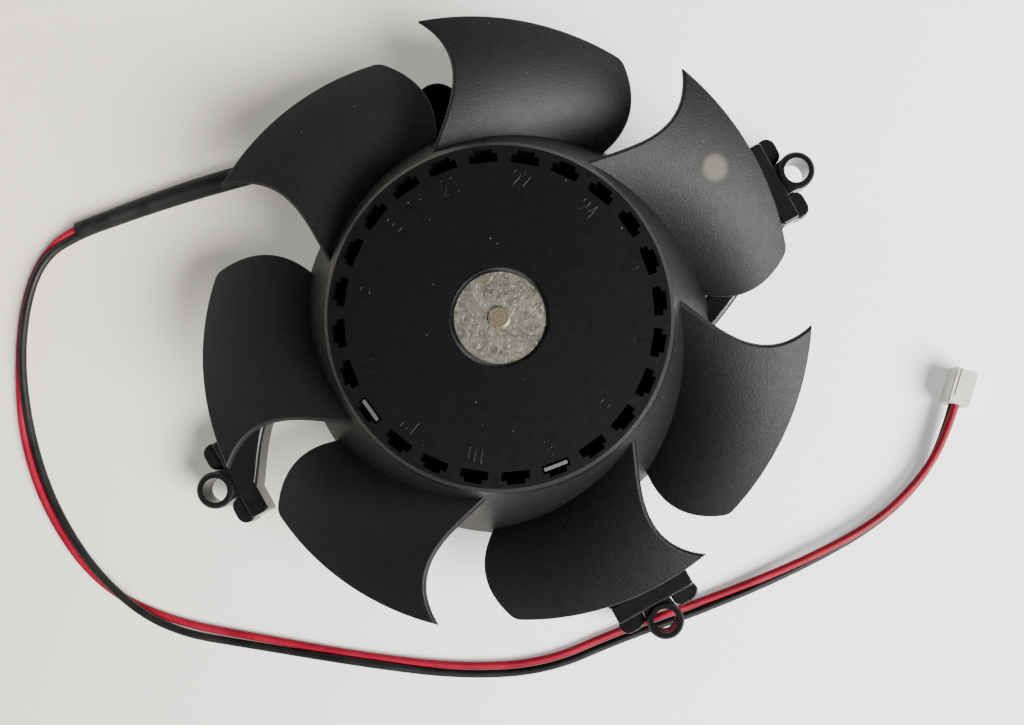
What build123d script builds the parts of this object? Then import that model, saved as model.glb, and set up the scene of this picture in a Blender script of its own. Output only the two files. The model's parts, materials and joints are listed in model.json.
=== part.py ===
from build123d import *
import math
import os

# Axial fan: a seven-blade impeller on an external-rotor motor, carried by a moulded bracket
# with three mounting ears, and a two-core lead with a plug.
# Frame: the axis of rotation is Z, z = 0 is the rear face of the bracket, +Z points to the
# impeller's front. The ears lie on the corners of a square that is parallel to X and Y.

os.makedirs("parts", exist_ok=True)

# ---------------------------------------------------------------- driving dimensions, mm
TIP_R = 56.0                    # blade tip circle
BLADE_TURNS = (16.2, 65.3, 119.2, 169.0, 222.0, 270.0, 325.1)    # uneven, for a softer tone
BLADE_T = 1.6                   # blade thickness
BLADE_BACK = Vector(-0.41, 0.07, -1).normalized()   # from the front to the back surface
BLADE_EDGE_SET = 0.6            # the front surface stops this far behind the leading edge
BLADE_EDGE_R = 0.4
BLADE_CORNER_R = 3.0            # outer corner of the trailing edge

HUB_TOP = 35.0
HUB_R = 30.8                    # top of the conical hub wall
HUB_EDGE = 0.7                  # bevel round the hub's top edge
SKIRT_R = 39.7
SKIRT_Z = 11.5
HUB_WALL = 1.6
HUB_PLATE = 2.0
HUB_EYE_R = 8.9                 # opening round the rotor boss
RIB_COUNT = 14                  # stiffening ribs inside the hub wall
RIM_Z = 26.0                    # underside of the thick ring that holds the balance pockets
POCKET_COUNT = 24
POCKET_PHASE = 7.0
POCKET_Z = 27.5

CUP_R = 25.0
CUP_WALL = 1.0
CUP_Z = (13.5, 33.0)
CUP_HOLE_R = 5.0
SLEEVE_WALL = 1.55              # impeller ring round the rotor cup
FIT = 0.05                      # radial gap of a light press fit

BASE_R = 38.0
BASE_FLOOR = 2.0
BASE_RIM_T = 1.8
BASE_RIM_Z = 9.5
TUBE_R = 7.0                    # bearing tube, outside
TUBE_Z = 29.0
SHAFT_R = 2.0
SHAFT_Z = (3.2, 34.9)

BEARING_R = 5.5
BEARING_H = 4.0
BEARING_Z = {"front": 24.5, "rear": 6.0}
BALL_R = 0.95
BALL_COUNT = 7
BALL_CIRCLE = 3.75
RACE_INNER_R = 3.05
RACE_OUTER_R = 4.45

MAGNET_R = (21.0, 24.0)
STATOR_R = 20.3
STATOR_Z = (16.0, 26.0)
POLE_COUNT = 4
POLE_HALF = 2.5
CORE_RING_R = 10.5
SHOE_R = 18.0
INSULATOR_T = 1.0
BOARD_R = 23.0
BOARD_Z = (8.0, 9.6)

EAR_CIRCLE = 65.05              # three corners of a 92 mm square
EAR_ANGLES = (45.0, -45.0, 225.0)
EAR_HOLE_R = 2.4
EAR_RING_R = 3.65
EAR_Z = (4.6, 11.0)
ARM_Z = (4.4, 10.8)
ARM_WALL = 1.5

TAB_ANGLE = 123.2               # cable tab, a short trough on the bracket
TAB_END_R = 46.5
TAB_HALF = 4.7
TAB_WALL = 1.2
TAB_FLOOR = 1.5
TAB_Z = 9.0

LEAD_R = 0.8
LEAD_PITCH_HALF = 0.86          # half the distance between the two leads
SLEEVE_R = 1.95
SLEEVE_BORE_R = 1.72
HOUSING = (4.5, 7.2, 5.8)       # plug: across, along the lead, height as it lies
PLUG_X = 91.0
PLUG_Y = 11.4
CAVITY = 1.8
LEAD_STOP = 1.1                 # how far a lead reaches into the plug
PIN_LOW = 1.9
PIN_HIGH = 3.9


# ---------------------------------------------------------------- small helpers
def tube(outer, inner, z0, z1):
    """Ring about the Z axis."""
    ring = Cylinder(outer, z1 - z0) - Cylinder(inner, z1 - z0 + 2)
    return Pos(0, 0, (z0 + z1) / 2) * ring


def disc(radius, z0, z1):
    return Pos(0, 0, (z0 + z1) / 2) * Cylinder(radius, z1 - z0)


def box(x0, x1, y0, y1, z0, z1):
    return Pos((x0 + x1) / 2, (y0 + y1) / 2, (z0 + z1) / 2) * Box(x1 - x0, y1 - y0, z1 - z0)


def turned(*points):
    """Solid of revolution of an (r, z) outline."""
    outline = Polyline(*[(r, 0, z) for r, z in points], close=True)
    return revolve(make_face(outline), Axis.Z)


def around(shape, count, first=0.0):
    return [Rot(0, 0, first + 360 / count * i) * shape for i in range(count)]


def save(name, shape):
    solids = shape.solids() if hasattr(shape, "solids") else [s for part in shape for s in part.solids()]
    shape = solids[0] if len(solids) == 1 else Compound(children=list(solids))
    export_step(shape, f"parts/{name}.step")


# ---------------------------------------------------------------- impeller
def cone_r(z):
    """Outside radius of the hub wall at height z."""
    return HUB_R + (SKIRT_R - HUB_R) * (HUB_TOP - HUB_EDGE - z) / (HUB_TOP - HUB_EDGE - SKIRT_Z)


def leading_angle(r):
    return 101.2 + 0.054 * (r - 46.8) ** 2 - math.degrees(BLADE_EDGE_SET / r)


def trailing_angle(r):
    return 59.0 + 0.055 * (r - 44.5) ** 2


def blade_z(s, r):
    """Height of the blade's front surface, s from 0 at the leading to 1 at the trailing edge."""
    lead = 31.4 - 2.4 * (r - 30) / 26
    trail = 13.4 + 3.0 * (r - 38) / 18
    return lead + (trail - lead) * (0.6 * s + 0.4 * s * s)


def blade_point(s, k):
    """Point on the front surface, k from 0 inside the hub wall to 1 on the tip circle."""
    root = 31.0
    for _ in range(6):
        root = cone_r(blade_z(s, root)) - 0.9
    r = root + (TIP_R - root) * k
    angle = math.radians(leading_angle(r) + s * (trailing_angle(r) - leading_angle(r)))
    return Vector(r * math.cos(angle), r * math.sin(angle), blade_z(s, r))


def make_blade():
    steps = 12
    grid = [[blade_point(i / steps, j / steps) for j in range(steps + 1)] for i in range(steps + 1)]
    front = Face.make_surface_from_array_of_points(grid, tol=0.01, min_deg=3, max_deg=6)
    blade = extrude(front, amount=BLADE_T, dir=BLADE_BACK)
    trailing_corner = blade.edges().filter_by(GeomType.LINE).sort_by(Axis.X)[-1]
    blade = fillet(trailing_corner, BLADE_CORNER_R)
    free_edges = [e for e in blade.edges() if e.length > 2 and Vector(e.center().X, e.center().Y).length > 40.5]
    return fillet(free_edges, BLADE_EDGE_R)


def make_pocket():
    """T-shaped pocket in the hub's face that takes a balance clip."""
    wide = box(27.1, 28.6, -2.5, 2.5, POCKET_Z, HUB_TOP + 1)
    step = box(28.5, 29.4, -1.6, 1.6, POCKET_Z, HUB_TOP + 1)
    return wide + step


def make_impeller():
    ring_r = CUP_R + FIT + SLEEVE_WALL
    shell = turned(
        (HUB_EYE_R, HUB_TOP), (HUB_R - HUB_EDGE, HUB_TOP), (HUB_R, HUB_TOP - HUB_EDGE),
        (SKIRT_R, SKIRT_Z), (SKIRT_R - HUB_WALL, SKIRT_Z), (cone_r(RIM_Z) - HUB_WALL, RIM_Z),
        (ring_r, RIM_Z), (ring_r, CUP_Z[0]), (CUP_R + FIT, CUP_Z[0]),
        (CUP_R + FIT, HUB_TOP - HUB_PLATE), (HUB_EYE_R, HUB_TOP - HUB_PLATE))
    rib = extrude(make_face(Polyline(
        (ring_r - 0.5, 0, RIM_Z + 0.5), (cone_r(RIM_Z) - 0.8, 0, RIM_Z + 0.5),
        (cone_r(15) - 0.8, 0, 15), (ring_r - 0.5, 0, 15), close=True)), amount=0.6, both=True)
    shell += around(rib, RIB_COUNT)
    shell -= around(make_pocket(), POCKET_COUNT, POCKET_PHASE)
    blade = make_blade()
    return shell + [Rot(0, 0, turn) * blade for turn in BLADE_TURNS]


def make_balance_clips():
    """Folded spring-steel clips, one in each of two pockets."""
    half = 0.32
    leg = 0.24
    fold = box(27.85 - half, 27.85 + half, -2.15, 2.15, POCKET_Z, HUB_TOP - 0.25)
    fold -= box(27.85 - half + leg, 27.85 + half - leg, -3, 3, POCKET_Z - 1, HUB_TOP - 0.6)
    return [Rot(0, 0, POCKET_PHASE + 15 * i) * fold for i in (15, 20)]


# ---------------------------------------------------------------- rotor
def make_rotor_cup():
    cup = disc(CUP_R, *CUP_Z) - disc(CUP_R - CUP_WALL, CUP_Z[0] - 1, CUP_Z[1] - CUP_WALL)
    cup -= disc(CUP_HOLE_R, 0, 50)
    outer_edge = cup.edges().filter_by(GeomType.CIRCLE).group_by(Axis.Z)[-1].sort_by(SortBy.RADIUS)[-1]
    return fillet(outer_edge, 0.9)


def make_rotor_boss():
    """Pressed zinc hub that joins the cup to the shaft and shows in the impeller's eye."""
    boss = disc(8.2, CUP_Z[1], 34.3) + disc(CUP_HOLE_R, 29.6, CUP_Z[1])
    boss -= disc(SHAFT_R, 0, 50)
    rim = boss.edges().filter_by(GeomType.CIRCLE).group_by(Axis.Z)[-1].sort_by(SortBy.RADIUS)[-1]
    return chamfer(rim, 0.2)


def make_shaft():
    shaft = disc(SHAFT_R, *SHAFT_Z)
    shaft = chamfer(shaft.edges().filter_by(GeomType.CIRCLE), 0.35)
    return shaft - tube(3, 1.6, 4.6, 5.2)


def make_retaining_clip():
    clip = tube(3.3, 1.6, 4.6, 5.2) - box(0, 4, -1.3, 1.3, 4, 6)
    return clip


def make_preload_washer():
    """Conical disc spring between the boss and the front bearing's inner race."""
    low = BEARING_Z["front"] + BEARING_H
    high = 29.6
    t = 0.3
    return turned((SHAFT_R, low), (2.8, low), (4.2, high - t), (4.2, high), (3.4, high), (SHAFT_R, low + t))


# ---------------------------------------------------------------- ball bearings
def ball_groove(z):
    """Ring-shaped track that the balls run in, 0.1 mm larger than a ball."""
    return Pos(0, 0, z) * Torus(BALL_CIRCLE, BALL_R + 0.1)


def make_bearing(z0):
    """Inner race, outer race, balls and cage, from the rear face z0."""
    z1 = z0 + BEARING_H
    mid = (z0 + z1) / 2
    inner = tube(RACE_INNER_R, SHAFT_R, z0, z1) - ball_groove(mid)
    outer = tube(BEARING_R, RACE_OUTER_R, z0, z1) - ball_groove(mid)
    balls = around(Pos(BALL_CIRCLE, 0, mid) * Sphere(BALL_R), BALL_COUNT)
    cage = tube(BALL_CIRCLE + 0.35, BALL_CIRCLE - 0.35, mid - 0.4, mid + 1.3)
    for ball in balls:
        cage -= ball
    return inner, outer, balls, cage


# ---------------------------------------------------------------- stator
def pole_plan(shoe_r, grow=0.0):
    """Cross-shaped lamination plan: a ring, four necks and four curved pole shoes."""
    plan = Circle(CORE_RING_R) - Circle(TUBE_R)
    neck = Pos((9 + SHOE_R + 0.5) / 2, 0) * Rectangle(SHOE_R - 8.5, 2 * POLE_HALF)
    sector = make_face(Polyline((0, 0), (40, -29), (40, 29), close=True))
    shoe = (Circle(shoe_r) - Circle(SHOE_R)) & sector
    for i in range(POLE_COUNT):
        plan += Rot(0, 0, 90 * i) * (neck + shoe)
    return plan


def make_insulator(inner_z, outward):
    """Plastic cap on one end of the lamination stack, with a lip on each pole shoe."""
    t = INSULATOR_T * outward
    cap = extrude(Pos(0, 0, inner_z) * pole_plan(STATOR_R - 0.5), amount=t)
    sector = make_face(Polyline((0, 0), (40, -20), (40, 20), close=True))
    lip = (Circle(SHOE_R + 1.2) - Circle(SHOE_R)) & sector
    for i in range(POLE_COUNT):
        cap += Rot(0, 0, 90 * i) * extrude(Pos(0, 0, inner_z + t) * lip, amount=1.6 * outward)
    return cap


def make_coil():
    """Copper winding round one pole, between the ring and the shoe."""
    low = STATOR_Z[0] - INSULATOR_T
    high = STATOR_Z[1] + INSULATOR_T
    bulge = 2.1
    outer = box(11.3, 17.3, -POLE_HALF - bulge, POLE_HALF + bulge, low - bulge, high + bulge)
    outer = fillet(outer.edges().filter_by(Axis.X), 1.6)
    return outer - box(10, 19, -POLE_HALF, POLE_HALF, low, high)


def make_circuit_board():
    board = tube(BOARD_R, TUBE_R + 0.1, *BOARD_Z)
    board -= around(Pos(9.3, 0) * disc(0.55, 0, 20), POLE_COUNT, 45)
    return board


def make_capacitor():
    can = Pos(-14, -11) * disc(3.15, 2.8, BOARD_Z[0])
    return fillet(can.edges().filter_by(GeomType.CIRCLE).sort_by(Axis.Z)[0], 0.5)


# ---------------------------------------------------------------- bracket
def local_plan(*points):
    """Closed spline-sided plan: the first list runs out along one side, the second back."""
    side_a, side_b = points
    return make_face([Spline(*side_a), Line(side_a[-1], side_b[0]), Spline(*side_b), Line(side_b[-1], side_a[0])])


def make_arm():
    """Swept arm from the base rim to an ear that lies on +X, open underneath."""
    ccw = [(35.6, -13.6), (43.5, -11.0), (50.3, -6.5), (54.8, -0.9), (58.2, 4.0)]
    cw = [(58.2, -8.3), (50.5, -12.4), (43.1, -16.1), (37.1, -18.7), (32.0, -20.4)]
    plan = local_plan(ccw, cw)
    height = ARM_Z[1] - ARM_Z[0]
    arm = extrude(Pos(0, 0, ARM_Z[0]) * plan, amount=height)
    top = arm.faces().sort_by(Axis.Z)[-1]
    long_edges = top.edges().sort_by(SortBy.LENGTH)[-2:]
    arm = fillet(long_edges, 0.9)
    inner_ccw = [(36.5, -15.0), (43.9, -12.6), (50.6, -8.2), (54.0, -4.4), (56.6, 0.0)]
    inner_cw = [(56.6, -7.4), (50.0, -10.9), (42.5, -14.5), (38.5, -16.3), (36.6, -17.2)]
    hollow = extrude(Pos(0, 0, ARM_Z[0] - 1) * local_plan(inner_ccw, inner_cw), amount=height + 1 - ARM_WALL)
    return arm - hollow


def make_ear():
    """Screw eye with its block and two locating bosses, on +X."""
    z0, z1 = EAR_Z
    block = box(57.6, 61.4, -8.3, 8.3, z0, z1)
    block = fillet(block.edges().filter_by(Axis.Z), 0.6)
    block = fillet(block.edges().filter_by(Axis.Y).group_by(Axis.Z)[-1], 0.5)
    neck_plan = make_face(Polyline((61, -2.8), (64.8, -3.6), (64.8, 3.6), (61, 2.8), close=True))
    neck = extrude(Pos(0, 0, z0) * neck_plan, amount=z1 - z0 - 0.6)
    ring = Pos(EAR_CIRCLE, 0) * disc(EAR_RING_R, z0, z1)
    ring = chamfer(ring.edges().filter_by(GeomType.CIRCLE), 0.35)
    ear = block + neck + ring
    for side in (-1, 1):
        lug_plan = Pos(62.3, side * 5.95, z0) * Rot(0, 0, 90) * SlotCenterToCenter(1.5, 3.9)
        lug = extrude(lug_plan, amount=z1 - z0 - 1.6)
        ear += fillet(lug.edges().group_by(Axis.Z)[-1], 0.35)
    return ear - Pos(EAR_CIRCLE, 0) * disc(EAR_HOLE_R, 0, 20)


def make_tab():
    """Trough on +X that leads the cable out through a slot in its side."""
    inner = TAB_HALF - TAB_WALL
    outside = box(BASE_R - 3, TAB_END_R, -TAB_HALF, TAB_HALF, 0, TAB_Z)
    outside += Pos(TAB_END_R, 0) * disc(TAB_HALF, 0, TAB_Z)
    top = outside.faces().sort_by(Axis.Z)[-1]
    return fillet(top.edges(), 0.5), inner


def tab_hollow(inner):
    """Space inside the trough, the gap in the base rim and the cable slot."""
    hollow = box(BASE_R - 1, TAB_END_R, -inner, inner, TAB_FLOOR, TAB_Z + 1)
    hollow += Pos(TAB_END_R, 0) * disc(inner, TAB_FLOOR, TAB_Z + 1)
    hollow += box(BASE_R - 4, BASE_R + 3.5, -7.0, inner, BASE_FLOOR, 6.0)
    hollow += box(42.0, 46.4, 0, TAB_HALF + 1, TAB_FLOOR, TAB_Z + 1)
    return hollow


def make_bracket():
    base = disc(BASE_R, 0, BASE_FLOOR) + tube(BASE_R, BASE_R - BASE_RIM_T, 0, BASE_RIM_Z)
    base += disc(TUBE_R, 0, TUBE_Z)
    base += disc(10.5, 0, 5.0)
    for post in around(box(BOARD_R, BOARD_R + 1.6, -2, 2, 1, 10.6), 3, 20):
        base += post
    for rib in around(box(10, BASE_R - 1, -0.6, 0.6, 1, 3.4), 8, 10):
        base += rib
    for post in around(Pos(21, 0) * disc(1.6, 1, BOARD_Z[0]), 3, 20):
        base += post
    for angle in EAR_ANGLES:
        base += Rot(0, 0, angle) * make_arm()
        base += Rot(0, 0, angle) * make_ear()
    tab, inner = make_tab()
    base += Rot(0, 0, TAB_ANGLE) * tab
    base -= Rot(0, 0, TAB_ANGLE) * tab_hollow(inner)
    base -= disc(17.5, -1, 0.4)
    base -= disc(BEARING_R, -1, BEARING_Z["rear"] + BEARING_H)
    base -= disc(RACE_OUTER_R, 0, TUBE_Z)
    base -= disc(BEARING_R, BEARING_Z["front"], TUBE_Z + 1)
    return base


# ---------------------------------------------------------------- leads, sleeve and plug
# Route of the lead pair: x, y, share of the half pitch by which the red lead lies to the left
# of the direction of travel, and the heights of the red and the black lead.
FLAT = LEAD_R
OVER = 2.5
IN_TAB = 3.55
ON_FLOOR = SLEEVE_R
ROUTE = [
    (-3.0, 21.9, -1, 6.9, 6.9),
    (-14.5, 30.6, -1, 4.6, 4.6),
    (-21.3, 35.5, -1, IN_TAB, IN_TAB),
    (-25.8, 35.7, -1, IN_TAB, IN_TAB),
    (-33.4, 31.7, -1, 3.1, 3.1),
    (-46.7, 24.4, -1, 2.2, 2.2),
    (-61.5, 15.7, -1, ON_FLOOR, ON_FLOOR),
    (-77.0, 5.7, -1, ON_FLOOR, ON_FLOOR),
    (-90.4, -4.4, -1, ON_FLOOR, ON_FLOOR),
    (-95.6, -11.0, -1, FLAT, FLAT),
    (-96.6, -20.5, -1, FLAT, FLAT),
    (-94.2, -33.6, -1, FLAT, FLAT),
    (-88.4, -48.6, -1, FLAT, FLAT),
    (-79.2, -61.4, -1, FLAT, FLAT),
    (-65.8, -71.9, -1, FLAT, OVER),
    (-50.0, -76.4, 1, FLAT, OVER),
    (-31.0, -74.5, 1, FLAT, FLAT),
    (-10.0, -72.0, 0.7, FLAT, 2.1),
    (10.2, -68.8, 1, FLAT, FLAT),
    (26.5, -63.0, 1, FLAT, FLAT),
    (39.2, -52.4, 1, FLAT, FLAT),
    (53.6, -42.2, 1, FLAT, FLAT),
    (70.2, -28.8, 0.7, 2.3, FLAT),
    (82.9, -16.2, 0.4, OVER, FLAT),
    (89.2, -5.0, 0.4, OVER, FLAT),
    (PLUG_X, 4.2, 0.15, PIN_HIGH, PIN_LOW),
    (PLUG_X, PLUG_Y + LEAD_STOP, 0, PIN_HIGH, PIN_LOW),
]
SLEEVE_LAST = 8                 # index of the route point where the sleeve ends


def left_normals(points):
    """Unit normal to the left of the route at each point, seen from above."""
    result = []
    for i in range(len(points)):
        before = points[max(i - 1, 0)]
        here = points[i]
        after = points[min(i + 1, len(points) - 1)]
        legs = [(b[0] - a[0], b[1] - a[1]) for a, b in ((before, here), (here, after)) if a is not b]
        units = [(x / math.hypot(x, y), y / math.hypot(x, y)) for x, y in legs]
        x = sum(u[0] for u in units)
        y = sum(u[1] for u in units)
        result.append((-y / math.hypot(x, y), x / math.hypot(x, y)))
    return result


def lead_points(colour):
    """Route of one lead, to the left or right of the pair's centre line or on top of its mate."""
    sign = 1 if colour == "red" else -1
    height = 3 if colour == "red" else 4
    points = []
    for row, normal in zip(ROUTE, left_normals(ROUTE)):
        shift = sign * row[2] * LEAD_PITCH_HALF
        points.append((row[0] + shift * normal[0], row[1] + shift * normal[1], row[height]))
    return points


def corner_radii(points):
    """Arc radius at each inner point: 0.45 of the shorter run, over the tangent of half the turn."""
    radii = []
    for a, b, c in zip(points, points[1:], points[2:]):
        before = Vector(*b) - Vector(*a)
        after = Vector(*c) - Vector(*b)
        half_turn = math.radians(before.get_angle(after)) / 2
        radii.append(0.45 * min(before.length, after.length) / math.tan(half_turn))
    return radii


def make_cord(name, points, outer, bore=0.0):
    """Tube of straight runs joined by tangent arcs."""
    radii = corner_radii(points)
    path = FilletPolyline(*points, radius=radii)
    start = Plane(origin=path @ 0, z_dir=path % 0)
    section = Circle(outer) - Circle(bore) if bore else Circle(outer)
    cord = sweep(start * section, path=path, transition=Transition.RIGHT)
    expected = math.pi * (outer ** 2 - bore ** 2) * path.length
    print(f"{name}: length {path.length:.1f}, radii {[round(r, 1) for r in radii]}")
    print(f"{name}: volume {cord.volume:.1f}, section times length {expected:.1f}")
    return cord


def sleeve_points():
    """The sleeve starts in the tab's slot and ends short of its last route point."""
    centre = [(row[0], row[1], row[3]) for row in ROUTE[2:SLEEVE_LAST + 1]]
    start = Vector(*centre[0])
    run = Vector(*centre[1]) - start
    first = start + run * 0.3
    last = Vector(*centre[-1])
    back = (Vector(*centre[-2]) - last).normalized()
    centre[0] = tuple(first)
    centre[-1] = tuple(last + back * 1.5)
    return centre


def make_plug():
    """Two-way housing that lies on its narrow side, and its two terminals."""
    width, length, height = HOUSING
    body = box(PLUG_X - width / 2, PLUG_X + width / 2, PLUG_Y, PLUG_Y + length, 0, height)
    body = chamfer(body.edges().filter_by(Axis.Y), 0.25)
    for side in (-1, 1):
        rib_x = PLUG_X - width / 2 + 0.7
        rib = box(rib_x - 0.3, rib_x + 0.3, PLUG_Y + 1.6, PLUG_Y + length, 0, 0.2)
        body -= rib if side < 0 else Pos(0, 0, height - 0.2) * rib
    terminals = []
    for z in (PIN_LOW, PIN_HIGH):
        half = CAVITY / 2
        body -= box(PLUG_X - half, PLUG_X + half, PLUG_Y - 1, PLUG_Y + length + 1, z - half, z + half)
        body -= box(PLUG_X, PLUG_X + width, PLUG_Y + 2.4, PLUG_Y + 4.2, z - 0.55, z + 0.55)
        inner = half - 0.05
        end = PLUG_Y + length - 0.5
        crimp = box(PLUG_X - inner, PLUG_X + inner, PLUG_Y + LEAD_STOP, end, z - inner, z + inner)
        terminals.append(crimp - box(PLUG_X - 0.4, PLUG_X + 0.4, end - 4, end + 1, z - 0.4, z + 0.4))
    return body, terminals


def make_cable_clip():
    """Bar pressed between the walls of the tab, over the leads."""
    inner = TAB_HALF - TAB_WALL
    bar = box(38.4, 40.8, -inner, inner, 5.1, 6.9)
    bar -= box(38.0, 41.0, -1.2, 1.2, 6.2, 7.0)
    return Rot(0, 0, TAB_ANGLE) * bar


def make_solder_joints():
    """Solder on the underside of the board where the two leads end."""
    joints = []
    for colour in ("red", "black"):
        a, b = [Vector(*p) for p in lead_points(colour)[:2]]
        inward = (a - b).normalized()
        frame = Plane(origin=a, z_dir=inward)
        cap = extrude(frame * Circle(LEAD_R), amount=0.9)
        blob = Pos(a.X + inward.X * 0.8, a.Y + inward.Y * 0.8) * disc(0.7, 6.9, BOARD_Z[0])
        joints.append(cap + blob)
    return joints


# ---------------------------------------------------------------- the nodes
save("impeller", make_impeller())
save("balance_clips", make_balance_clips())
save("rotor_cup", make_rotor_cup())
save("rotor_boss", make_rotor_boss())
save("rotor_magnet", tube(MAGNET_R[1], MAGNET_R[0], 14.0, 30.0))
save("shaft", make_shaft())
save("retaining_clip", make_retaining_clip())
save("thrust_washer", tube(RACE_INNER_R, SHAFT_R, 5.2, BEARING_Z["rear"]))
save("preload_washer", make_preload_washer())
for place, bearing_z in BEARING_Z.items():
    inner_race, outer_race, ball_set, ball_cage = make_bearing(bearing_z)
    save(f"{place}_bearing_inner_race", inner_race)
    save(f"{place}_bearing_outer_race", outer_race)
    save(f"{place}_bearing_balls", ball_set)
    save(f"{place}_bearing_cage", ball_cage)

save("motor_bracket", make_bracket())
save("stator_core", extrude(Pos(0, 0, STATOR_Z[0]) * pole_plan(STATOR_R), amount=STATOR_Z[1] - STATOR_Z[0]))
save("upper_insulator", make_insulator(STATOR_Z[1], 1))
save("lower_insulator", make_insulator(STATOR_Z[0], -1))
for number, coil in enumerate(around(make_coil(), POLE_COUNT), start=1):
    save(f"stator_coil_{number}", coil)
save("terminal_pins", around(box(8.95, 9.65, -0.35, 0.35, 6.9, STATOR_Z[0] - INSULATOR_T), POLE_COUNT, 45))
save("circuit_board", make_circuit_board())
save("driver_chip", Rot(0, 0, -70) * box(13, 18, -3, 3, BOARD_Z[0] - 1.5, BOARD_Z[0]))
save("hall_sensor", Rot(0, 0, 45) * box(18.6, 20.2, -2, 2, BOARD_Z[1], BOARD_Z[1] + 3.2))
save("capacitor", make_capacitor())
save("solder_joints", make_solder_joints())
save("rear_label", disc(17.4, 0.2, 0.4))

save("red_lead", make_cord("red_lead", lead_points("red"), LEAD_R))
save("black_lead", make_cord("black_lead", lead_points("black"), LEAD_R))
save("lead_sleeve", make_cord("lead_sleeve", sleeve_points(), SLEEVE_R, SLEEVE_BORE_R))
save("cable_clip", make_cable_clip())
plug_body, plug_terminals = make_plug()
save("plug_housing", plug_body)
save("plug_terminals", plug_terminals)
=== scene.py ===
import json
import math

import bpy
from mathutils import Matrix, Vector


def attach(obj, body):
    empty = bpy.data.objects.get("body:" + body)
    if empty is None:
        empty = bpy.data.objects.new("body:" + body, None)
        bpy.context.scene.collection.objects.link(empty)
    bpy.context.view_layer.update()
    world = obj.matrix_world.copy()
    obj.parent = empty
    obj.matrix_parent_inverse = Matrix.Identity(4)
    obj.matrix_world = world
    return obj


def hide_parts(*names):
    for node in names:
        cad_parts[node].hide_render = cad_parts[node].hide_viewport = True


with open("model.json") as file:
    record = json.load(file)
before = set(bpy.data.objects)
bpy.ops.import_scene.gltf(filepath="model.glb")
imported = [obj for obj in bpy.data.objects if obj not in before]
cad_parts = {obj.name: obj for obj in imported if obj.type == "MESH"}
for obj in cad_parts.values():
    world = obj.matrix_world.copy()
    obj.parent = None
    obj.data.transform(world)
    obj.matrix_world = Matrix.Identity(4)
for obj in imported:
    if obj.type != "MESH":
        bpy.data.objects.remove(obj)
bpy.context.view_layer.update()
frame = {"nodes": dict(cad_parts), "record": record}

MM = 0.001
nodes = frame["nodes"]
scene = bpy.context.scene

# ---------------------------------------------------------------- camera

PHOTO_TURN = math.radians(16.16)      # the photograph's up direction, turned from +Y
LENS = 40.2
SENSOR = 36.0
SHIFT = (-0.0469, 0.0757)             # the photograph's middle isn't the point below the lens
CAMERA = Vector((16.2, -17.7, 235.0)) * MM

camera_data = bpy.data.cameras.new("camera")
camera_data.lens = LENS
camera_data.sensor_width = SENSOR
camera_data.shift_x, camera_data.shift_y = SHIFT
camera_data.clip_start = 0.01
camera_data.clip_end = 20.0
camera = bpy.data.objects.new("camera", camera_data)
camera.location = CAMERA
camera.rotation_euler = (0.0, 0.0, PHOTO_TURN)
scene.collection.objects.link(camera)
scene.camera = camera


def photo_direction(angle, height):
    """Unit vector towards an angle in the photograph's plane and a height above it, in degrees."""
    a, h = math.radians(angle) + PHOTO_TURN, math.radians(height)
    return Vector((math.cos(a) * math.cos(h), math.sin(a) * math.cos(h), math.sin(h)))


# ---------------------------------------------------------------- materials


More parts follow.
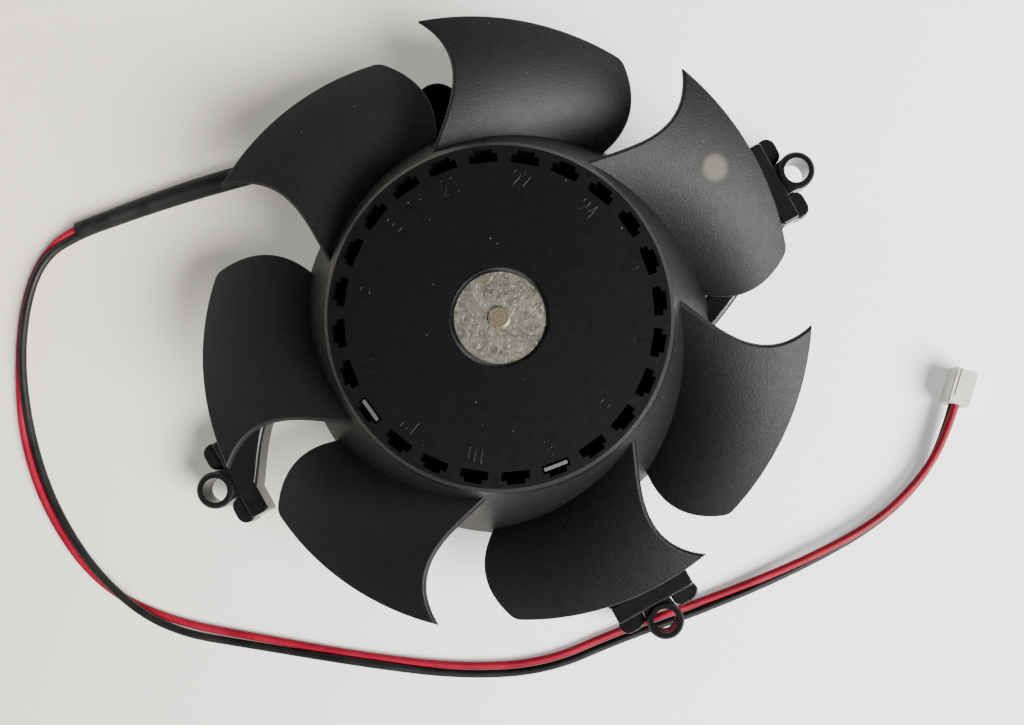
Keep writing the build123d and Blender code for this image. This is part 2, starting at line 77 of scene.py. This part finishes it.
class Graph:
    """A material's nodes. Numbers or linked sockets go to each node's inputs."""

    def __init__(self, name):
        self.material = bpy.data.materials.new(name)
        self.material.use_nodes = True
        self.tree = self.material.node_tree
        self.shader = self.tree.nodes["Principled BSDF"]
        self.place = self.add("ShaderNodeTexCoord").outputs["Object"]

    def feed(self, socket, value):
        if isinstance(value, bpy.types.NodeSocket):
            self.tree.links.new(value, socket)
        else:
            socket.default_value = value

    def add(self, kind, inputs=(), **settings):
        """A node with its properties set and its inputs fed."""
        node = self.tree.nodes.new(kind)
        for key, value in settings.items():
            setattr(node, key, value)
        for key, value in dict(inputs).items():
            self.feed(node.inputs[key], value)
        return node

    def math(self, operation, a, b=0.0, c=0.0):
        """Result of a math node on up to three values."""
        return self.add("ShaderNodeMath", {0: a, 1: b, 2: c}, operation=operation).outputs[0]

    def total(self, values):
        """Sum of one or more values."""
        result = values[0]
        for value in values[1:]:
            result = self.math("ADD", result, value)
        return result

    def noise(self, scale, detail=3.0, roughness=0.55, where=None, distortion=0.0):
        """Noise from 0 to 1. Scale is features per millimetre."""
        inputs = {
            "Vector": where or self.place,
            "Scale": scale / MM,
            "Detail": detail,
            "Roughness": roughness,
            "Distortion": distortion,
        }
        return self.add("ShaderNodeTexNoise", inputs).outputs["Fac"]

    def cells(self, scale, feature="F1"):
        """Distance to scattered points. Scale is points per millimetre."""
        inputs = {"Vector": self.place, "Scale": scale / MM}
        return self.add("ShaderNodeTexVoronoi", inputs, feature=feature).outputs["Distance"]

    def between(self, value, low, high, out_low=0.0, out_high=1.0):
        """Smooth step from out_low to out_high as value goes from low to high."""
        inputs = {"Value": value, "From Min": low, "From Max": high, "To Min": out_low, "To Max": out_high}
        return self.add("ShaderNodeMapRange", inputs, interpolation_type="SMOOTHSTEP").outputs["Result"]

    def blend(self, factor, a, b):
        """Colour a where factor is 0, and b where it is 1."""
        node = self.add("ShaderNodeMix", data_type="RGBA")
        for index, value in ((0, factor), (6, a), (7, b)):
            self.feed(node.inputs[index], value)
        return node.outputs[2]

    def stretched(self, x, y, turn=0.0):
        """Texture place turned about Z, in radians, and scaled along X and Y."""
        inputs = {"Vector": self.place, "Scale": (x, y, 1.0), "Rotation": (0.0, 0.0, turn)}
        return self.add("ShaderNodeMapping", inputs).outputs["Vector"]

    def split(self):
        """The place's x, y and z, in metres."""
        return self.add("ShaderNodeSeparateXYZ", {"Vector": self.place}).outputs

    def radius(self):
        """Distance from the shaft's axis, in metres."""
        x, y, _ = self.split()
        return self.math("SQRT", self.math("ADD", self.math("MULTIPLY", x, x), self.math("MULTIPLY", y, y)))

    def near(self, point, low, high):
        """1 within low of a point in millimetres, and 0 beyond high."""
        inputs = {0: self.place, 1: Vector(point) * MM}
        far = self.add("ShaderNodeVectorMath", inputs, operation="DISTANCE").outputs["Value"]
        return self.between(far, low * MM, high * MM, 1.0, 0.0)

    def bump(self, height, strength, depth, normal=None):
        """Bumps of a height map. Depth is in millimetres."""
        node = self.add("ShaderNodeBump", {"Height": height, "Strength": strength, "Distance": depth * MM})
        if normal:
            self.feed(node.inputs["Normal"], normal)
        return node.outputs["Normal"]

    def finish(self, color, roughness, normal=None, metallic=0.0, **constants):
        """The material, with its shader's inputs set. Constants are more of them, by name."""
        values = {"Base Color": color, "Roughness": roughness, "Metallic": metallic}
        if normal:
            values["Normal"] = normal
        for key, value in (values | constants).items():
            self.feed(self.shader.inputs[key], value)
        return self.material


def grey(value, warm=0.0):
    """A linear grey, slightly warm or cold."""
    return (value * (1 + warm), value, value * (1 - warm), 1.0)


HUB_FACE_R = (30.9, 31.4)             # the hub's face is smooth within this edge
GATE_MARK = (29.5, 38.1, 26.1)        # pale round mark on one blade
DENTS = (                             # small ones near that blade's root
    (17.7, 36.5, 29.6), (18.3, 36.3, 29.4), (19.9, 37.1, 29.1), (20.5, 36.8, 28.8),
)


def impeller_plastic():
    """Black filled plastic with a spark-eroded texture, which is fainter on the hub's face."""
    g = Graph("impeller_plastic")
    blades = g.between(g.radius(), HUB_FACE_R[0] * MM, HUB_FACE_R[1] * MM)
    grain = g.noise(3.0, 5.0, 0.8)
    pits = g.cells(2.8)
    clouds = g.noise(0.05, 3.0, 0.5)
    mark = g.near(GATE_MARK, 1.6, 3.1)
    dust = g.between(g.cells(0.42), 0.0, 0.09, 1.0, 0.0)
    dust = g.math("MULTIPLY", dust, g.between(g.noise(0.12, 2.0), 0.52, 0.66))
    color = g.blend(clouds, grey(0.0012, -0.08), grey(0.003, -0.03))
    speckle = g.math("MULTIPLY", blades, g.between(grain, 0.5, 0.68))
    color = g.blend(speckle, color, grey(0.011, 0.14))
    color = g.blend(g.math("MULTIPLY", mark, 0.85), color, (0.065, 0.064, 0.046, 1.0))
    color = g.blend(g.math("MULTIPLY", dust, 0.5), color, grey(0.2, 0.04))
    rough = g.math("MULTIPLY_ADD", blades, 0.14, 0.33)
    rough = g.math("MULTIPLY_ADD", g.noise(0.6, 3.0), 0.12, rough)
    height = g.math("ADD", grain, g.math("MULTIPLY", pits, 0.6))
    height = g.math("MULTIPLY", height, g.math("MULTIPLY_ADD", blades, 0.85, 0.15))
    normal = g.bump(height, 0.5, 0.09)
    dents = g.total([g.near(point, 0.1, 0.5) for point in DENTS])
    normal = g.bump(dents, -1.0, 0.3, normal)
    normal = g.bump(mark, 0.5, 0.1, normal)
    return g.finish(color, rough, normal, **{"Specular IOR Level": 0.235})


def bracket_plastic():
    """Glossy black plastic with flow marks and fine scratches."""
    g = Graph("bracket_plastic")
    clouds = g.noise(0.08, 3.0)
    scratches = g.between(g.noise(0.9, 2.0, where=g.stretched(0.12, 2.0, 0.5)), 0.62, 0.75)
    color = g.blend(clouds, grey(0.004), grey(0.009))
    color = g.blend(g.math("MULTIPLY", scratches, 0.12), color, grey(0.03))
    rough = g.math("MULTIPLY_ADD", scratches, 0.06, g.math("MULTIPLY_ADD", g.noise(0.5), 0.12, 0.15))
    normal = g.bump(g.noise(0.35, 3.0), 0.25, 0.12)
    normal = g.bump(g.noise(3.0, 2.0), 0.12, 0.02, normal)
    return g.finish(color, rough, normal, **{"Specular IOR Level": 0.22})


def metal(name, dark, light, rough, grain, turned=0.0, banded=0.0, metallic=1.0):
    """Metal with tarnish and fine grain, and lathe rings or stacked bands where it has them."""
    g = Graph(name)
    tarnish = g.noise(grain, 4.0, 0.6, distortion=0.6)
    color = g.blend(g.between(tarnish, 0.35, 0.68), dark, light)
    height = g.noise(2.5, 3.0)
    if turned:
        rings = g.math("SINE", g.math("MULTIPLY", g.radius(), turned / MM))
        height = g.math("MULTIPLY_ADD", rings, 0.35, height)
    if banded:
        bands = g.math("SINE", g.math("MULTIPLY", g.split()[2], banded / MM))
        height = g.math("MULTIPLY_ADD", bands, 1.2, height)
        color = g.blend(g.between(bands, -0.95, -0.6, 0.7, 0.0), color, grey(0.02))
    normal = g.bump(height, 0.35, 0.03)
    roughness = g.between(tarnish, 0.3, 0.7, rough[1], rough[0])
    return g.finish(color, roughness, normal, metallic)


def plastic(name, dark, light, rough=(0.4, 0.55), grain=0.4, fine=3.0, depth=0.02, **constants):
    """Plastic, film or lacquer with mottled colour and a fine surface."""
    g = Graph(name)
    mottle = g.noise(grain, 4.0, 0.6)
    color = g.blend(g.between(mottle, 0.3, 0.7), dark, light)
    normal = g.bump(g.noise(fine, 4.0, 0.6), 0.4, depth)
    roughness = g.between(mottle, 0.3, 0.7, rough[0], rough[1])
    return g.finish(color, roughness, normal, **constants)


def circuit_laminate():
    """Green solder mask over copper tracks."""
    g = Graph("board_laminate")
    tracks = g.between(g.cells(0.35, feature="F2"), 0.55, 0.6)
    weave = g.noise(2.0, 2.0, where=g.stretched(1.0, 0.2))
    color = g.blend(tracks, (0.01, 0.07, 0.02, 1.0), (0.03, 0.16, 0.05, 1.0))
    color = g.blend(g.math("MULTIPLY", weave, 0.3), color, (0.05, 0.12, 0.04, 1.0))
    normal = g.bump(g.math("ADD", tracks, g.math("MULTIPLY", weave, 0.2)), 0.4, 0.03)
    return g.finish(color, g.between(weave, 0.3, 0.7, 0.28, 0.42), normal)


def boss_zinc():
    """Die-cast zinc, mottled by handling and scored by the press that seated it."""
    g = Graph("boss_zinc")
    swirl = g.noise(0.24, 6.0, 0.68, distortion=2.2)
    spots = g.noise(1.4, 4.0, 0.65)
    scores = g.between(g.noise(1.6, 2.0, where=g.stretched(1.2, 0.3, 0.9), distortion=1.4), 0.62, 0.7)
    color = g.blend(g.between(swirl, 0.36, 0.66), (0.075, 0.077, 0.057, 1.0), (0.24, 0.238, 0.192, 1.0))
    color = g.blend(g.between(spots, 0.52, 0.7, 0.0, 0.75), color, (0.36, 0.33, 0.28, 1.0))
    color = g.blend(g.math("MULTIPLY", scores, 0.3), color, (0.4, 0.39, 0.35, 1.0))
    height = g.math("ADD", swirl, g.math("MULTIPLY", spots, 0.7))
    normal = g.bump(g.math("MULTIPLY_ADD", scores, -0.4, height), 0.5, 0.1)
    return g.finish(color, g.between(swirl, 0.3, 0.7, 0.55, 0.4), normal, 0.76)


finishes = {
    "impeller_plastic": impeller_plastic(),
    "bracket_plastic": bracket_plastic(),
    "boss_zinc": boss_zinc(),
    "board_laminate": circuit_laminate(),
    "clip_steel": metal("clip_steel", grey(0.3), grey(0.62), (0.26, 0.38), 0.6, metallic=0.95),
    "cup_steel": metal("cup_steel", grey(0.2), grey(0.34), (0.3, 0.45), 0.2, turned=6.0),
    "magnet_ferrite": plastic("magnet_ferrite", grey(0.012), grey(0.03), (0.5, 0.7), 0.5, 4.0, 0.04),
    "shaft_steel": metal(
        "shaft_steel", (0.24, 0.19, 0.12, 1.0), (0.5, 0.44, 0.31, 1.0), (0.34, 0.48), 1.1, turned=9.0
    ),
    "bearing_steel": metal("bearing_steel", grey(0.4), grey(0.62), (0.14, 0.25), 0.4, turned=10.0),
    "cage_steel": metal("cage_steel", grey(0.28), grey(0.4), (0.3, 0.42), 0.6),
    "spring_steel": metal("spring_steel", grey(0.2), grey(0.36), (0.22, 0.36), 0.5),
    "lamination_steel": metal("lamination_steel", grey(0.13), grey(0.26), (0.35, 0.5), 0.4, banded=12.6),
    "insulator_nylon": plastic("insulator_nylon", (0.5, 0.46, 0.36, 1.0), (0.68, 0.64, 0.54, 1.0)),
    "winding_copper": metal(
        "winding_copper", (0.3, 0.09, 0.03, 1.0), (0.6, 0.22, 0.09, 1.0), (0.22, 0.35), 0.5, banded=15.0
    ),
    "pin_tin": metal("pin_tin", grey(0.42), grey(0.66), (0.2, 0.35), 0.9),
    "component_black": plastic("component_black", grey(0.01), grey(0.022), (0.45, 0.6), 0.8),
    "capacitor_can": metal("capacitor_can", grey(0.36), grey(0.55), (0.25, 0.38), 0.4, turned=8.0),
    "solder": metal("solder", grey(0.4), grey(0.62), (0.2, 0.4), 0.8),
    "label_film": plastic("label_film", grey(0.35), grey(0.48), (0.3, 0.42), 0.2, 2.0, metallic=0.5),
    "sleeve_black": plastic(
        "sleeve_black", grey(0.003), grey(0.009), (0.5, 0.64), 0.25, 1.2, 0.12, **{"Specular IOR Level": 0.2}
    ),
    "wire_red": plastic(
        "wire_red", (0.15, 0.001, 0.01, 1.0), (0.23, 0.002, 0.017, 1.0), (0.5, 0.62), 0.15, 2.0,
        **{"Specular IOR Level": 0.2},
    ),
    "wire_black": plastic(
        "wire_black", grey(0.003), grey(0.008), (0.45, 0.58), 0.15, 2.0, **{"Specular IOR Level": 0.2}
    ),
    "plug_nylon": plastic("plug_nylon", (0.5, 0.48, 0.43, 1.0), (0.62, 0.6, 0.55, 1.0), (0.35, 0.5), 0.5, 2.5),
}


# Every CAD piece gets the finish of its slot in the record.
for part in frame["record"]["subparts"]:
    mesh = nodes[part["node"]].data
    mesh.materials.clear()
    mesh.materials.append(finishes[part["material_slot"]])

# ---------------------------------------------------------------- leads and sleeve

# All of these are in millimetres, and are those of the CAD model.
LEAD_DIAMETER = 1.6
PITCH_HALF = 0.86                     # half the distance between the two leads
SLEEVE_DIAMETER = 3.9
SLEEVE_WALL = 0.23
SLEEVE_SWELL = (1.0, 0.94, 0.94, 0.98, 1.12, 0.98, 0.87)   # shrunk unevenly along its length
SLEEVE_ROWS = slice(2, 9)             # the rows of ROUTE that it covers

# Heights of a lead's middle
FLAT = 0.8                            # on the floor
OVER = 2.5                            # across the other lead
RIDING = 2.02                         # along the other lead, half on it
IN_TAB = 3.55
ON_FLOOR = 1.95                       # in the sleeve where that lies on the floor
PIN_LOW = 1.9                         # in the plug, which lies on its narrow side
PIN_HIGH = 3.9
PLUG_X = 91.0
PLUG_STOP = 12.5

# x and y between the leads, which side the red one is on, z of the red lead, z of the black one
ROUTE = [
    (-3.0, 21.9, -1, 6.9, 6.9),
    (-14.5, 30.6, -1, 4.6, 4.6),
    (-21.3, 35.5, -1, IN_TAB, IN_TAB),
    (-25.8, 35.7, -1, IN_TAB, IN_TAB),
    (-33.4, 31.7, -1, 3.1, 3.1),
    (-46.7, 24.4, -1, 2.2, 2.2),
    (-61.5, 15.7, -1, ON_FLOOR, ON_FLOOR),
    (-77.0, 5.7, -1, ON_FLOOR, ON_FLOOR),
    (-90.4, -4.4, -1, ON_FLOOR, ON_FLOOR),
    (-95.6, -11.0, -0.6, FLAT, RIDING),
    (-96.6, -20.5, -0.6, FLAT, RIDING),
    (-94.2, -33.6, -0.6, FLAT, RIDING),
    (-88.4, -48.6, -1, FLAT, FLAT),
    (-79.2, -61.4, -1, FLAT, FLAT),
    (-65.8, -71.9, -1, FLAT, OVER),
    (-50.0, -76.4, 1, FLAT, OVER),
    (-31.0, -74.5, 1, FLAT, FLAT),
    (-10.0, -72.0, 0.7, FLAT, 2.1),
    (10.2, -68.8, 1, FLAT, FLAT),
    (26.5, -63.0, 1, FLAT, FLAT),
    (39.2, -52.4, 1, FLAT, FLAT),
    (53.6, -42.2, 1, FLAT, FLAT),
    (70.2, -28.8, 0.7, 2.3, FLAT),
    (82.9, -16.2, 0.4, OVER, FLAT),
    (89.2, -5.0, 0.4, OVER, FLAT),
    (PLUG_X, 4.2, 0.15, PIN_HIGH, PIN_LOW),
    (PLUG_X, PLUG_STOP, 0, PIN_HIGH, PIN_LOW),
]


def left_normals(points):
    """Unit normal to the left of the route at each point, seen from above."""
    result = []
    for i, here in enumerate(points):
        before, after = points[max(i - 1, 0)], points[min(i + 1, len(points) - 1)]
        legs = [Vector(b[:2]) - Vector(a[:2]) for a, b in ((before, here), (here, after)) if a is not b]
        along = sum((leg.normalized() for leg in legs), Vector((0.0, 0.0))).normalized()
        result.append(Vector((-along.y, along.x)))
    return result


def lead_points(sign, column):
    """Control points of one lead. Sign is 1 for red and -1 for black, and column holds its z."""
    points = []
    for row, normal in zip(ROUTE, left_normals(ROUTE)):
        x, y = Vector(row[:2]) + normal * sign * row[2] * PITCH_HALF
        points.append(Vector((x, y, row[column])))
    return points


def sleeve_points():
    """The sleeve starts in the tab's slot, ends short of its last row and stays above the floor."""
    points = [Vector((row[0], row[1], row[3])) for row in ROUTE[SLEEVE_ROWS]]
    points[0] += (points[1] - points[0]) * 0.3
    points[-1] += (points[-2] - points[-1]).normalized() * 0.5
    for point, swell in zip(points, SLEEVE_SWELL):
        point.z = max(point.z, SLEEVE_DIAMETER / 2 * swell)
    return points


def cord(name, points, diameter, swell=None):
    """A round cord along a smooth spline. Swell scales its radius at each control point."""
    curve = bpy.data.curves.new(name, "CURVE")
    curve.dimensions = "3D"
    curve.resolution_u = 14
    curve.bevel_depth = diameter / 2 * MM
    curve.bevel_resolution = 7
    curve.use_fill_caps = True
    spline = curve.splines.new("NURBS")
    spline.points.add(len(points) - 1)
    for point, place, scale in zip(spline.points, points, swell or [1.0] * len(points)):
        point.co = (*(place * MM), 1.0)
        point.radius = scale
    spline.order_u = 3
    spline.use_endpoint_u = True
    made = bpy.data.objects.new(name, curve)
    scene.collection.objects.link(made)
    return made


red = cord("red_lead_wire", lead_points(1, 3), LEAD_DIAMETER)
black = cord("black_lead_wire", lead_points(-1, 4), LEAD_DIAMETER)
sleeve = cord("lead_sleeving", sleeve_points(), SLEEVE_DIAMETER, SLEEVE_SWELL)

for made, node, slot, length in (
    (red, "red_lead", "wire_red", 0.3829),
    (black, "black_lead", "wire_black", 0.3792),
):
    made.data.materials.append(finishes[slot])
    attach(made, "bracket")
    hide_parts(node)

sleeve.data.materials.append(finishes["sleeve_black"])
sleeve.data.use_fill_caps = False
wall = sleeve.modifiers.new("wall", "SOLIDIFY")
wall.thickness = SLEEVE_WALL * MM
wall.offset = -1.0
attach(sleeve, "bracket")
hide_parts("lead_sleeve")
sleeve_points()[0] * MM

# ---------------------------------------------------------------- hub numerals

NUMERAL_Z = 34.97                     # stroke centres, just under the hub's face
NUMERAL_RADIUS = 24.5
NUMERAL_FIRST = 37.0                  # angle of the 2, from +X
NUMERAL_STEP = -30.0
NUMERAL_COUNT = 12                    # one for every other pocket
DIGIT_HEIGHT = 2.7
DIGIT_WIDTH = 1.1
DIGIT_PITCH = 1.75
STROKE_R = 0.11
OVAL = [
    (0.5, 1.0), (0.0, 1.0), (0.0, 0.5), (0.0, 0.0), (0.5, 0.0), (1.0, 0.0), (1.0, 0.5), (1.0, 1.0), (0.5, 1.0),
]
# Control points of each digit's strokes, in a cell of width 1 and height 1
STROKES = {
    "0": [OVAL],
    "1": [[(0.25, 0.8), (0.55, 1.0)], [(0.55, 1.0), (0.55, 0.0)]],
    "2": [
        [(0.0, 0.72), (0.0, 1.0), (0.5, 1.0), (1.0, 1.0), (1.0, 0.68), (0.85, 0.5), (0.0, 0.0)],
        [(0.0, 0.0), (1.0, 0.0)],
    ],
    "4": [[(0.72, 0.0), (0.72, 1.0)], [(0.72, 1.0), (0.0, 0.3)], [(0.0, 0.3), (1.0, 0.3)]],
    "6": [[(u, v * 0.58) for u, v in OVAL], [(0.0, 0.28), (0.02, 0.75), (0.75, 1.0)]],
    "8": [[(u, v * 0.55) for u, v in OVAL], [(0.1 + u * 0.8, 0.55 + v * 0.45) for u, v in OVAL]],
}


def numeral_stroke(curve, stroke, angle, shift):
    """One stroke of a digit, whose top points away from the axis. Shift is the digit's place in its number."""
    out = Vector((math.cos(angle), math.sin(angle)))
    right = Vector((out.y, -out.x))
    spline = curve.splines.new("NURBS")
    spline.points.add(len(stroke) - 1)
    for point, (u, v) in zip(spline.points, stroke):
        place = out * (NUMERAL_RADIUS + (v - 0.5) * DIGIT_HEIGHT) + right * (shift + (u - 0.5) * DIGIT_WIDTH)
        point.co = (place.x * MM, place.y * MM, NUMERAL_Z * MM, 1.0)
    spline.order_u = min(3, len(stroke))
    spline.use_endpoint_u = True


def hub_numerals():
    """Raised even numbers that count the balance pockets."""
    curve = bpy.data.curves.new("hub_numerals", "CURVE")
    curve.dimensions = "3D"
    curve.resolution_u = 4
    curve.bevel_depth = STROKE_R * MM
    curve.bevel_resolution = 2
    curve.use_fill_caps = True
    for i in range(NUMERAL_COUNT):
        number = str(2 * i + 2)
        angle = math.radians(NUMERAL_FIRST + NUMERAL_STEP * i)
        for place, digit in enumerate(number):
            shift = (place - (len(number) - 1) / 2) * DIGIT_PITCH
            for stroke in STROKES[digit]:
                numeral_stroke(curve, stroke, angle, shift)
    curve.materials.append(finishes["impeller_plastic"])
    made = bpy.data.objects.new("hub_numerals", curve)
    scene.collection.objects.link(made)
    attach(made, "rotor")


hub_numerals()

# ---------------------------------------------------------------- floor and light

FLOOR_HALF = 3.0                      # metres
LEFT_SHADE_X = (-0.13, 0.11)                # metres: painted shade, the table is darker and warmer before the first, none after the second


def table_top():
    """Matte white paper that glows a little, as a burnt-out background does, with painted shade that darkens
    and warms it towards the left.
    """
    g = Graph("table_top")
    pale = g.blend(g.noise(0.02, 4.0), (0.93, 0.925, 0.92, 1.0), (0.98, 0.975, 0.97, 1.0))
    # Painted shade: the light's fall-off, painted as a darker, warmer colour on the table's left.
    warm = g.between(g.split()[0], *LEFT_SHADE_X, 1.0, 0.0)
    color = g.blend(warm, pale, (0.6, 0.56, 0.48, 1.0))
    glow = {"Emission Color": color, "Emission Strength": 0.4}
    return g.finish(color, 0.6, g.bump(g.noise(0.8), 0.1, 0.05), **glow)


corners = [(x * FLOOR_HALF, y * FLOOR_HALF, 0.0) for x, y in ((-1, -1), (1, -1), (1, 1), (-1, 1))]
floor_mesh = bpy.data.meshes.new("floor")
floor_mesh.from_pydata(corners, [], [(0, 1, 2, 3)])
floor_mesh.materials.append(table_top())
floor = bpy.data.objects.new("floor", floor_mesh)
scene.collection.objects.link(floor)

LIGHT_DISTANCE = 1.2                  # metres; it makes no difference to a sun


def soft_light(name, kind, direction, energy, color, **settings):
    """A light that shines from a direction towards the object."""
    data = bpy.data.lights.new(name, kind)
    data.energy = energy
    data.color = color
    for key, value in settings.items():
        setattr(data, key, value)
    light = bpy.data.objects.new(name, data)
    light.location = direction * LIGHT_DISTANCE
    light.rotation_euler = (-direction).to_track_quat("-Z", "Y").to_euler()
    scene.collection.objects.link(light)


WINDOW_WIDTH = math.radians(36.0)
soft_light("window", "SUN", photo_direction(-31.0, 41.0), 13.0, (1.0, 0.985, 0.965), angle=WINDOW_WIDTH)
soft_light("wall", "AREA", photo_direction(150.0, 24.0), 3.0, (0.93, 0.96, 1.0), shape="DISK", size=0.7)

# The sky is bright at the horizon, like the floor, and dark overhead, so the glossy top isn't veiled.
SKY_COLOR = (0.96, 0.97, 1.0, 1.0)
SKY_FADE = {"From Min": 0.0, "From Max": 0.28, "To Min": 3.0, "To Max": 0.05}
world = bpy.data.worlds.new("studio")
scene.world = world
world.use_nodes = True
sky = world.node_tree
background = sky.nodes["Background"]
background.inputs["Color"].default_value = SKY_COLOR
direction = sky.nodes.new("ShaderNodeTexCoord").outputs["Generated"]
split = sky.nodes.new("ShaderNodeSeparateXYZ")
fade = sky.nodes.new("ShaderNodeMapRange")
fade.interpolation_type = "SMOOTHSTEP"
for key, value in SKY_FADE.items():
    fade.inputs[key].default_value = value
sky.links.new(direction, split.inputs["Vector"])
sky.links.new(split.outputs["Z"], fade.inputs["Value"])
sky.links.new(fade.outputs["Result"], background.inputs["Strength"])
